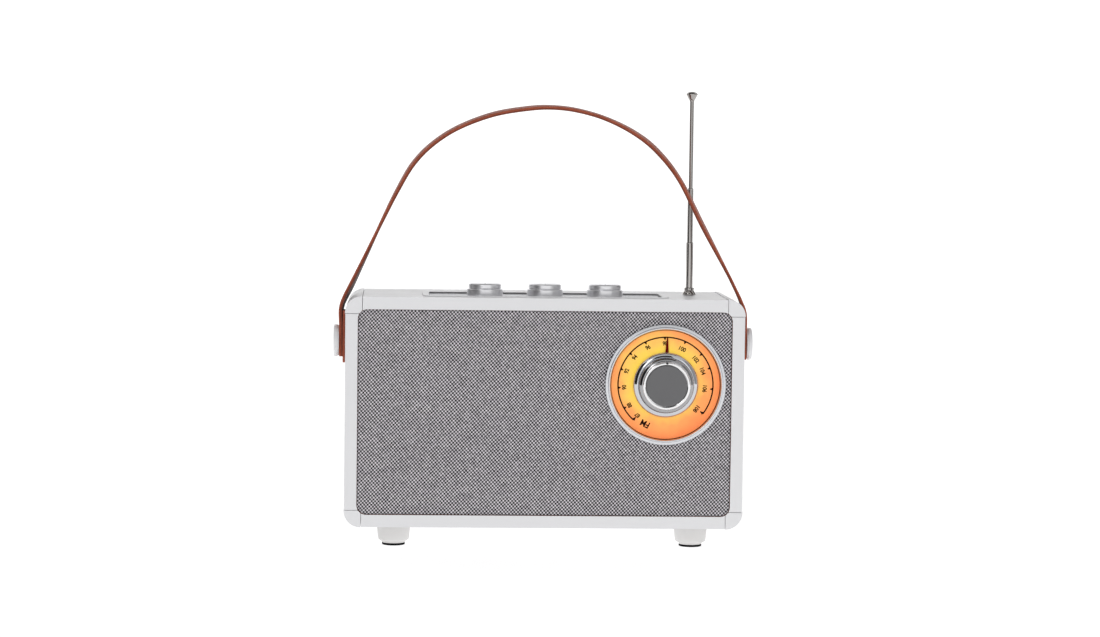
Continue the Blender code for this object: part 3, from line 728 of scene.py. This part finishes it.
def add_lettering(data, words, size, radius, degrees, weight, squeeze):
    """Raised print that faces the front, with its foot towards the dial's centre."""
    curve = bpy.data.curves.new("lettering", "FONT")
    curve.body = words
    curve.size = size * MM
    curve.align_x, curve.align_y = "CENTER", "CENTER"
    curve.extrude = 0.02 * MM
    curve.offset = weight * MM
    curve.resolution_u = 6
    mesh = harvested(placed("lettering", curve))
    bpy.data.curves.remove(curve)
    place = (Matrix.Translation((DIAL_CENTRE[0], FRONT + (FACE_FRONT - 0.02) * MM, DIAL_CENTRE[2]))
             @ Matrix.Rotation(math.radians(degrees), 4, "Y")
             @ Matrix.Translation((0, 0, radius * MM))
             @ Matrix.Rotation(math.radians(90), 4, "X")
             @ Matrix.Diagonal((squeeze, 1, 1, 1)))
    mesh.transform(place)
    data.from_mesh(mesh)
    bpy.data.meshes.remove(mesh)


def add_dial(bezel_metal, glow, ink, red):
    bezel = [(33.15, 5.4, 0), (34.3, 5.4, 0), (34.3, 0.5, 0), (36.25, 0.5, 0.1), (36.25, -1.05, 0.3),
             (34.75, -1.28, 0.12), (34.5, -1.6, 0.15), (34.3, -1.85, 0.15), (33.65, -1.85, 0.3),
             (33.15, -0.9, 0.3)]
    piece("dial_rim", turned(soft_profile(bezel, 0.3, 5), DIAL_CENTRE, "Y", 180), [bezel_metal],
          ["dial_bezel"])
    face = [(4.5, FACE_FRONT), (32.7, FACE_FRONT), (32.7, FACE_FRONT + 1.2),
            (4.5, FACE_FRONT + 1.2)]
    piece("dial_plate", turned(soft_profile(face, 0.15), DIAL_CENTRE, "Y", 160), [glow],
          ["dial_face"])

    data = bmesh.new()
    low, high = FACE_FRONT - 0.04, FACE_FRONT + 0.01
    inside, outside = SCALE_RADIUS - HALF_LINE, SCALE_RADIUS + HALF_LINE
    angles = np.linspace(-138.5, 127.5, 121)
    for first, second in zip(angles, angles[1:]):
        dial_shape(data, [(inside, first), (outside, first), (outside, second), (inside, second)],
                   low, high)
    for number, degrees in NUMBERS:
        reach, spread = (2.3, 2.0) if number in (87, 108) else (1.7, 1.8)
        point = SCALE_RADIUS - reach
        dial_shape(data, [(SCALE_RADIUS, degrees - spread), (SCALE_RADIUS, degrees + spread),
                          (point, degrees + 0.35), (point, degrees - 0.35)], low, high)
        words = str(number)
        two = len(words) == 2
        add_lettering(data, words, 3.5, 24.8 if two else 23.6, degrees, 0.12, 0.84 if two else 0.90)
    add_lettering(data, "FM", 5.3, 26.4, -153.0, 0.16, 0.88)
    bmesh.ops.remove_doubles(data, verts=data.verts, dist=1e-7)
    piece("dial_print", data, [ink])

    data = bmesh.new()
    front = -0.6
    dial_shape(data, [(16.0, POINTER_ANGLE - 4.5), (16.0, POINTER_ANGLE + 4.5),
                      (28.3, POINTER_ANGLE + 0.75), (28.3, POINTER_ANGLE - 0.75)], front, -0.1)
    bevel(data, [e for e in data.edges if all(abs(v.co.y - (FRONT + front * MM)) < 1e-7
                                              for v in e.verts)], 0.12 * MM, 2)
    piece("dial_needle", data, [red], ["dial_pointer"], "tuning")


def add_tuning_knob(chrome, cap_grey, ink):
    """A ring of a rounded flange, a groove, a rounded shoulder and a lip, round a flat cap."""
    flange, shoulder, lip = 4.0, 3.77, (0.95, 0.67)
    ring = [(SPINDLE_BORE, -0.9), (19.5, -0.9), (19.62, -1.0)]
    ring += [(16.02 + flange * math.sin(a), 0.83 - flange * math.cos(a))
             for a in np.radians(np.linspace(63.5, 12, 25))]
    ring += [(16.78, -2.98), (16.68, -2.8), (16.58, -2.4), (16.48, -2.35), (16.4, -2.6),
             (16.36, -3.2), (16.33, -6.6)]
    ring += [(13.31 + shoulder * math.sin(a), -4.42 - shoulder * math.cos(a))
             for a in np.radians(np.linspace(53, 20, 17))]
    ring += [(14.5, -7.93), (14.44, -7.75), (14.36, -7.75), (14.3, -7.98)]
    ring += [(13.35 + lip[0] * math.cos(a), -8.05 - lip[1] * math.sin(a))
             for a in np.radians(np.linspace(5, 130, 20))]
    ring += [(12.7, -8.1), (12.7, -5.4), (SPINDLE_BORE, -5.4)]
    piece("tuning_ring", turned(ring, DIAL_CENTRE, "Y", 180), [chrome],
          ["tuning_knob_ring"], "tuning", 50)
    cap = [(0, -8.86)] + [(r, -8.86 - 0.14 * (r / 11.4) ** 2) for r in np.linspace(1, 11.4, 12)]
    cap += [(11.75, -8.98), (12.1, -8.86), (12.3, -8.66), (12.4, -8.4), (12.4, -5.7), (0, -5.7)]
    piece("tuning_cap", turned(cap, DIAL_CENTRE, "Y", 160), [cap_grey],
          ["tuning_knob_cap"], "tuning", 50)
    dot = [(0, -0.28), (0.66, -0.28), (0.74, -0.2), (0.74, 0.2), (0, 0.2)]
    piece("tuning_mark", turned(dot, on_dial(13.6, 0.5, -8.55), "Y", 32), [ink],
          body="tuning")


# ---- top

def control_centres():
    """The names and centres of the three top knobs."""
    return [(word, (CONTROL_CENTRE[0] + step * KNOB_PITCH, CONTROL_CENTRE[1], TOP))
            for step, word in zip((-1, 0, 1), ("volume", "tone", "mode"))]


def add_controls(white, plate_metal, knob_metals, ink, painted_shadow_grey):
    """A raised rim round a sunken floor with three stepped knobs."""
    inner_half, inner_radius = grown(CONTROL_HALF, -CONTROL_RIM), CONTROL_RADIUS - CONTROL_RIM
    rim_top = TOP + 0.35 * MM

    def inside(margin, radius_margin):
        return rounded_outline(grown(inner_half, -margin * MM), inner_radius - radius_margin * MM,
                               CONTROL_CENTRE)

    rim = frame_prism(rounded_outline(CONTROL_HALF, CONTROL_RADIUS, CONTROL_CENTRE),
                      inside(0, 0), TOP - 6 * MM, rim_top, "Z")
    soften(rim, 2, rim_top, 0.55 * MM, 4)
    piece("control_rim", rim, [white], ["control_bezel"])
    # A near-black frame inside the rim's wall, just under the top: painted shadow for the shade in
    # the gap between the rim and the sunken floor.
    shadow_frame = frame_prism(inside(0.02, 0), inside(0.4, 0.38), TOP - 0.5 * MM, TOP, "Z")
    piece("control_painted_shadow", shadow_frame, [painted_shadow_grey])
    plate = prism(inside(0.45, 0), PLATE_TOP - 1.5 * MM, PLATE_TOP, "Z")
    holes = [drill(4.7, centre, "Z", 40) for word, centre in control_centres()]
    piece("control_floor", cut_away(plate, *holes), [plate_metal], ["control_plate"])

    knob = [(SPINDLE_BORE, -0.5, 0), (10.75, -0.5, 0.2), (11.0, -0.2, 0.2), (11.0, 3.35, 0.3),
            (10.7, 3.6, 0.2), (9.85, 3.6, 0.12), (9.6, 3.8, 0.1), (9.95, 4.1, 0.15),
            (9.95, 6.2, 0.2), (9.4, 6.9, 0.3), (8.6, 7.0, 0.4), (8.2, 6.82, 0.5), (0, 6.8),
            (0, 4.8), (SPINDLE_BORE, 4.8, 0)]
    for word, centre in control_centres():
        piece(word + "_dial", turned(soft_profile(knob, 0.2, 4), centre, "Z", 128),
              [knob_metals[word]], [word + "_knob"], word)
        mark = prism(rounded_outline((0.35 * MM, 1.6 * MM), 0.3 * MM,
                                     (centre[0], centre[1] - 5.6 * MM), 6),
                     TOP + 6.6 * MM, TOP + 6.87 * MM, "Z")
        piece(word + "_mark", mark, [ink], body=word)


def add_antenna(chrome):
    """A collar, two tubes and a rod that slide into each other, and a button at the tip."""
    housing = [(2.4, -100), (2.9, -100), (2.9, 0.1), (4.0, 0.1, 0.15), (4.0, 0.7, 0.2),
               (3.6, 1.6, 0.5), (3.15, 2.3, 0.2), (2.85, 2.6, 0.15), (3.0, 2.85, 0.1),
               (3.0, 4.1, 0.3), (2.7, 4.4, 0.2), (2.4, 4.4, 0.1)]
    lower = [(1.87, -62.7, 0), (2.15, -62.7, 0), (2.15, 31.4, 0.1), (2.2, 31.6, 0.1),
             (2.15, 32.1, 0.2), (1.9, 32.3, 0.1), (1.87, 31.8, 0.05)]
    middle = [(1.41, -26.5, 0), (1.71, -26.5, 0), (1.71, 64.7, 0.1), (1.75, 64.9, 0.1),
              (1.7, 65.35, 0.15), (1.45, 65.5, 0.1), (1.41, 65.1, 0.05)]
    rod = [(0, 26.7), (1.22, 26.7, 0), (1.22, 118.6, 0), (0, 118.6)]
    tip = [(0, 118.5), (1.45, 118.5, 0.1), (1.55, 118.9, 0.2), (1.4, 119.3, 0.2), (1.95, 119.9, 0.3),
           (3.1, 122.1, 0.3), (3.45, 122.7, 0.2), (3.45, 123.2, 0.3), (2.7, 124.1, 0.8),
           (1.3, 124.6, 0.8), (0, 124.7)]
    for name, profile, node, body in (
            ("socket", housing, "base", "cabinet"), ("tube_1", lower, "section_1", "antenna_lower"),
            ("tube_2", middle, "section_2", "antenna_middle"),
            ("rod", rod, "section_3", "antenna_upper"), ("button", tip, "tip", "antenna_upper")):
        shape = turned(soft_profile(profile, 0.1, 4), ANTENNA_FOOT, "Z", 64)
        piece("antenna_" + name, shape, [chrome], ["antenna_" + node], body)


# ---- strap

# x, height over the cabinet's bottom, both in millimetres, and twist in degrees
STRAP_ROUTE = (
    (-122.9, 100.4, 0), (-122.9, 118, -1), (-122.8, 129.5, -4), (-120.5, 136.2, -6.5),
    (-117.5, 142.2, -7), (-109.2, 159.8, -3.5), (-97.3, 185.5, 1), (-89.4, 201.6, 3),
    (-80.4, 217.2, 4), (-69.0, 229.3, 4), (-53.5, 239.6, 4), (-32.4, 247.9, 4.5),
    (-11.5, 251.8, 4.5), (3.5, 252.7, 4), (19, 251.1, 4), (36.6, 246.2, 4.5), (54.2, 237.7, 7),
    (68.2, 226.8, 8.5), (82.0, 209.6, 8), (96.4, 182, 9), (111.0, 155.1, 4.5),
    (116.6, 144.2, 4), (120.3, 136.4, 3), (122.7, 129, 1), (122.9, 118, 0), (122.9, 100.4, 0))


def smooth_route(points, spacing):
    """Points along a smooth curve through the given ones."""
    points = np.array(points, dtype=float)
    padded = np.vstack([2 * points[0] - points[1], points, 2 * points[-1] - points[-2]])
    stations = []
    for a, b, c, d in zip(padded, padded[1:], padded[2:], padded[3:]):
        count = max(1, round(np.linalg.norm(c[:2] - b[:2]) / spacing))
        for step in range(count):
            t = step / count
            stations.append(0.5 * (2 * b + (c - a) * t + (2 * a - 5 * b + 4 * c - d) * t ** 2
                                   + (3 * b - a - 3 * c + d) * t ** 3))
    stations.append(points[-1])
    return np.array(stations)


def strap_layer(section, materials_at, stations, end_radius):
    """Sweep a closed (across, outward) section along the strap's route.

    Near both ends the section narrows to round the strap's corners off."""
    data = bmesh.new()
    rings = []
    tangents = np.gradient(stations[:, :2], axis=0)
    strides = np.linalg.norm(np.diff(stations[:, :2], axis=0), axis=1)
    lengths = np.concatenate([[0], np.cumsum(strides)])
    half = max(abs(u) for u, v in section)
    for (x, z, twist), tangent, at in zip(stations, tangents, lengths):
        from_end = min(at, lengths[-1] - at)
        narrow = 1.0
        if from_end < end_radius:
            miss = end_radius - from_end
            narrow = (half - end_radius + math.sqrt(end_radius ** 2 - miss ** 2)) / half
        tangent = tangent / np.linalg.norm(tangent)
        outward = Vector((-tangent[1], 0, tangent[0]))
        angle = math.radians(twist)
        across = Vector((0, math.cos(angle), 0)) + outward * math.sin(angle)
        normal = outward * math.cos(angle) - Vector((0, math.sin(angle), 0))
        middle = Vector((x * MM, STRAP_Y, BOTTOM + z * MM))
        rings.append([data.verts.new(middle + across * (u * narrow * MM) + normal * (v * MM))
                      for u, v in section])
    for ring, following in zip(rings, rings[1:]):
        for i in range(len(ring)):
            j = (i + 1) % len(ring)
            face = data.faces.new((ring[i], ring[j], following[j], following[i]))
            face.material_index = materials_at[i]
    data.faces.new(rings[0])
    data.faces.new(rings[-1])
    return data


def strap_section(half, inner, outer, round_outer, crease=False):
    """Closed section of a flat layer with rounded outer corners and optional crease lines."""
    points = [(-half, inner + 0.1), (-half + 0.15, inner), (half - 0.15, inner), (half, inner + 0.1)]
    points += arc((half - round_outer, outer - round_outer), round_outer, 0, 90, 5)
    top = []
    if crease:
        for side in (1, -1):
            middle = side * (half - 1.7)
            top += [(middle + side * 0.35, outer), (middle + side * 0.12, outer - 0.13),
                    (middle - side * 0.12, outer - 0.13), (middle - side * 0.35, outer)]
            if side == 1:
                top += [(u, outer) for u in np.linspace(half - 3, -half + 3, 7)]
    points += sorted(top, key=lambda p: -p[0])
    points += arc((-half + round_outer, outer - round_outer), round_outer, 90, 180, 5)
    return points


def end_stations(stations, end_radius):
    """Put extra stations near both ends, for the rounded corners."""
    ends = [miss for miss in (0.02, 0.12, 0.3, 0.6, 1.0, 1.6, 2.4, 3.4) if miss < end_radius + 0.5]
    left = [[stations[0][0], stations[0][1] + m, stations[0][2]] for m in ends]
    right = [[stations[-1][0], stations[-1][1] + m, stations[-1][2]] for m in ends[::-1]]
    between = [list(s) for s in stations if s[1] >= stations[0][1] + ends[-1] + 0.4]
    return np.array(left + between + right)


def add_strap(hide, lining, edge_paint, white):
    """Hide over a lining, buttoned to both sides; it arches above the cabinet's top."""
    end_radius = 3.5
    stations = end_stations(smooth_route(STRAP_ROUTE, 2.2), end_radius)
    section = strap_section(7.5, -0.08, 1.0, 0.42, True)
    outer = strap_layer(section, [0] * len(section), stations, end_radius)
    section = strap_section(7.4, -1.0, -0.10, 0.2)
    is_inside = [1 if i == 1 else 0 for i in range(len(section))]
    inner = strap_layer(section, is_inside, stations, end_radius)
    bending = []
    for name, data, materials in (("strap_hide", outer, [hide]),
                                  ("strap_lining", inner, [edge_paint, lining])):
        bending.append(piece(name, data, materials, ["handle_strap"], None, 40))
    for side, sign in (("left", -1), ("right", 1)):
        low, high, half = PIVOT_Z - 13.5 * MM, PIVOT_Z + 18.5 * MM, 7.1 * MM
        corner = 6.0 * MM
        outline = [(STRAP_Y + half, high), (STRAP_Y - half, high)]
        outline += arc((STRAP_Y - half + corner, low + corner), corner, 180, 270, 10)
        outline += arc((STRAP_Y + half - corner, low + corner), corner, 270, 360, 10)
        ends = sorted((sign * (HALF_WIDTH + 0.45 * MM), sign * (HALF_WIDTH + 1.82 * MM)))
        data = prism(outline, ends[0], ends[1], "X")
        bevel(data, plane_edges(data, 0, ends[0]) + plane_edges(data, 0, ends[1]), 0.3 * MM, 3)
        bending.append(piece("strap_end_" + side, data, [hide],
                             ["handle_strap"], None))
        pivot = (sign * HALF_WIDTH, STRAP_Y, PIVOT_Z)
        button = [(SPINDLE_BORE, 4.05, 0), (8.9, 4.05, 0.1), (9.35, 4.35, 0.2), (9.35, 4.75, 0.1),
                  (9.15, 4.95, 0.1), (9.8, 5.2, 0.15), (9.8, 6.75, 0.45), (9.3, 7.32, 0.4),
                  (6.4, 7.4, 1.5), (0, 7.45), (0, 6.15), (SPINDLE_BORE, 6.15, 0)]
        profile = [(r, sign * h) for r, h in soft_profile(button, 0.2, 5)]
        piece("button_" + side, turned(profile, pivot, "X", 96), [white],
              ["strap_button_" + side], "handle")
    for made in bending:
        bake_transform(made)


# ---- rear

def add_rear(white, black, steel):
    """A screwed-on cover with the bass port, and a plate with the two sockets."""
    half = grown(OPENING_HALF, -GAP)
    outline = rounded_outline(half, OPENING_RADIUS, (0, MIDDLE_Z))
    cover = prism(outline, COVER_BACK - 3 * MM, COVER_BACK)
    soften(cover, 1, COVER_BACK, 0.5 * MM, 3)
    screws = [(x, MIDDLE_Z + z) for x in (-0.103, 0.0, 0.103) for z in (-0.0525, 0.0525)]
    cutters = [drill(16.2, PORT_CENTRE, "Y", 96),
               prism(rounded_outline((24.15 * MM, 9.15 * MM), 3 * MM, SOCKET_CENTRE),
                     BACK - 0.02, BACK + 0.02)]
    sink = [(0, -1.3), (3.3, -1.3), (3.9, 20), (0, 20)]
    for x, z in screws:
        cutters.append(turned(sink, (x, COVER_BACK, z), "Y", 40))
    piece("rear_panel", cut_away(cover, *cutters), [white], ["rear_cover"])
    dome = [(0, -1.25), (2.9, -1.25, 0), (2.9, -0.75, 0.2), (2.0, -0.3, 0.6), (0, -0.18)]
    for index, (x, z) in enumerate(screws):
        head = turned(soft_profile(dome, 0.2), (x, COVER_BACK, z), "Y", 48)
        cross = [prism(rounded_outline((wide * MM, tall * MM), 0.1 * MM, (x, z), 3),
                       COVER_BACK - 0.9 * MM, COVER_BACK + 1 * MM)
                 for wide, tall in ((0.35, 1.7), (1.7, 0.35))]
        piece(f"rear_screw_{index}", cut_away(head, *cross), [steel])

    port = [(13, -34, 0), (16, -34, 0), (16, -1.75, 0), (20, -1.75, 0.1), (20, -0.9, 0.4),
            (17.5, -0.02, 1.2), (15.4, -0.35, 1.4), (13.6, -2.4, 1.6), (13, -6, 2)]
    piece("port_tube", turned(soft_profile(port, 0.3, 6), PORT_CENTRE, "Y", 128), [black],
          ["bass_port"])

    usb = (SOCKET_CENTRE[0] + 11 * MM, SOCKET_CENTRE[1])
    aux = (SOCKET_CENTRE[0] - 11 * MM, BACK, SOCKET_CENTRE[1])
    plate = prism(rounded_outline((24 * MM, 9 * MM), 3 * MM, SOCKET_CENTRE), COVER_BACK - 3 * MM,
                  COVER_BACK - 0.5 * MM)
    soften(plate, 1, COVER_BACK - 0.5 * MM, 0.4 * MM, 3)
    slot_hole = prism(rounded_outline((4.8 * MM, 2.0 * MM), 1.9 * MM, usb), BACK - 0.02, BACK + 0.02)
    piece("socket_panel", cut_away(plate, slot_hole, drill(4.3, aux, "Y", 48)), [black],
          ["socket_plate"])
    shell = frame_prism(rounded_outline((4.5 * MM, 1.7 * MM), 1.6 * MM, usb),
                        rounded_outline((4.15 * MM, 1.35 * MM), 1.25 * MM, usb),
                        COVER_BACK - 8 * MM, COVER_BACK - 0.65 * MM)
    piece("usb_shell", shell, [steel], ["usb_socket"])
    tongue = prism(rounded_outline((3.2 * MM, 0.35 * MM), 0.1 * MM, usb, 3), COVER_BACK - 8 * MM,
                   COVER_BACK - 1.4 * MM)
    piece("usb_tongue", tongue, [black])
    jack = [(1.8, -14, 0), (4.1, -14, 0), (4.1, -2.6, 0.2), (3.2, -2.25, 0.3), (2.1, -2.4, 0.3),
            (1.8, -3.0, 0.2)]
    piece("aux_jack", turned(soft_profile(jack, 0.2, 4), aux, "Y", 64), [black],
          ["aux_socket"])


# ---- carried-over CAD nodes

def dress_inner_nodes():
    """Pieces inside the cabinet keep their CAD shape and get a grained finish."""
    board_green = ((0.02, 0.16, 0.07), 0.45, 0.0)
    turned_metal = ((0.60, 0.60, 0.62), 0.35, 1.0)
    # Colour, roughness and metallic of each
    looks = {"speaker_baffle": ((0.30, 0.19, 0.10), 0.75, 0.0),
             "grille_frame": ((0.03, 0.03, 0.032), 0.7, 0.0),
             "dial_light_box": ((0.85, 0.85, 0.80), 0.6, 0.0),
             "tuning_capacitor": ((0.72, 0.68, 0.55), 0.45, 0.0),
             "speaker_basket": ((0.03, 0.03, 0.032), 0.5, 0.4),
             "speaker_magnet": ((0.35, 0.35, 0.36), 0.45, 1.0),
             "speaker_surround": ((0.03, 0.03, 0.03), 0.8, 0.0),
             "speaker_cone": ((0.04, 0.04, 0.042), 0.85, 0.0),
             "control_board": board_green, "main_board": board_green,
             "battery_pack": ((0.05, 0.20, 0.50), 0.4, 0.0)}
    for node, thing in sorted(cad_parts.items()):
        if thing.hide_render:
            continue
        colour, roughness, metallic = looks.get(node, turned_metal)
        finish = Finish(node + "_look", roughness, metallic)
        shade = [c * 0.8 for c in colour]
        finish.set("Base Color", finish.mix(finish.noise(150.0, 4), shade, colour))
        finish.bump(finish.noise(900.0, 3), 0.03 * MM)
        thing.data.materials.clear()
        thing.data.materials.append(finish.material)


# ---- build

def build():
    add_camera()
    add_studio()
    white = moulded("white_lacquer", (0.81, 0.81, 0.825), 0.36, 1400.0, 0.006, 0.012,
                    Specular_IOR_Level=0.3)
    foot_white = moulded("foot_white", (0.705, 0.695, 0.685), 0.45, 1800.0, 0.01)
    rear_white = moulded("rear_grain", (0.74, 0.74, 0.75), 0.6, 2200.0, 0.06)
    rubber = moulded("pad_rubber_look", (0.006, 0.006, 0.007), 0.85, 1500.0, 0.05,
                     Specular_IOR_Level=0.1)
    ink = moulded("ink_brown", (0.030, 0.010, 0.004), 0.8, 3000.0, 0.005, Specular_IOR_Level=0.1)
    black_mark = moulded("mark_black", (0.015, 0.015, 0.016), 0.5, 3000.0, 0.005)
    red = moulded("needle_red", (0.13, 0.002, 0.002), 0.8, 2500.0, 0.004, Specular_IOR_Level=0.05)
    gasket = moulded("gasket_brown", (0.20, 0.095, 0.075), 0.8, 1500.0, 0.05)
    port_black = moulded("port_satin", (0.03, 0.03, 0.032), 0.45, 1800.0, 0.03)
    cap_grey = moulded("cap_graphite", (0.135, 0.135, 0.14), 0.5, 2600.0, 0.03)
    add_cabinet(white)
    add_feet(foot_white, rubber)
    add_grille(cloth_finish(), gasket)
    add_dial(metal("bezel_satin", (0.70, 0.71, 0.74), 0.30, DIAL_CENTRE, "Y", 0.004),
             dial_finish(), ink, red)
    add_tuning_knob(knob_finish(), cap_grey, black_mark)
    knob_metals = {word: metal("satin_" + word, (0.84, 0.84, 0.86), 0.34, centre, "Z", 0.004)
                   for word, centre in control_centres()}
    # The last grey passed to the controls is near black: the painted shadow inside the control rim.
    add_controls(white, metal("plate_satin", (0.70, 0.70, 0.72), 0.6), knob_metals, black_mark,
                 moulded("painted_shadow_grey", (0.09, 0.09, 0.092), 0.4, 2000.0, 0.01))
    add_antenna(metal("antenna_mirror", (0.42, 0.40, 0.385), 0.09, ripple=0.0004))
    add_strap(leather("strap_leather_look", (0.38, 0.092, 0.048), (0.48, 0.14, 0.08)),
              moulded("lining_suede", (0.17, 0.125, 0.12), 0.8, 1600.0, 0.08),
              leather("strap_edge_look", (0.23, 0.062, 0.036), (0.33, 0.10, 0.06)),
              moulded("button_white", (0.87, 0.87, 0.88), 0.34, 1400.0, 0.006, 0.01))
    add_rear(rear_white, port_black, metal("screw_steel", (0.55, 0.55, 0.56), 0.3))
    dress_inner_nodes()


build()
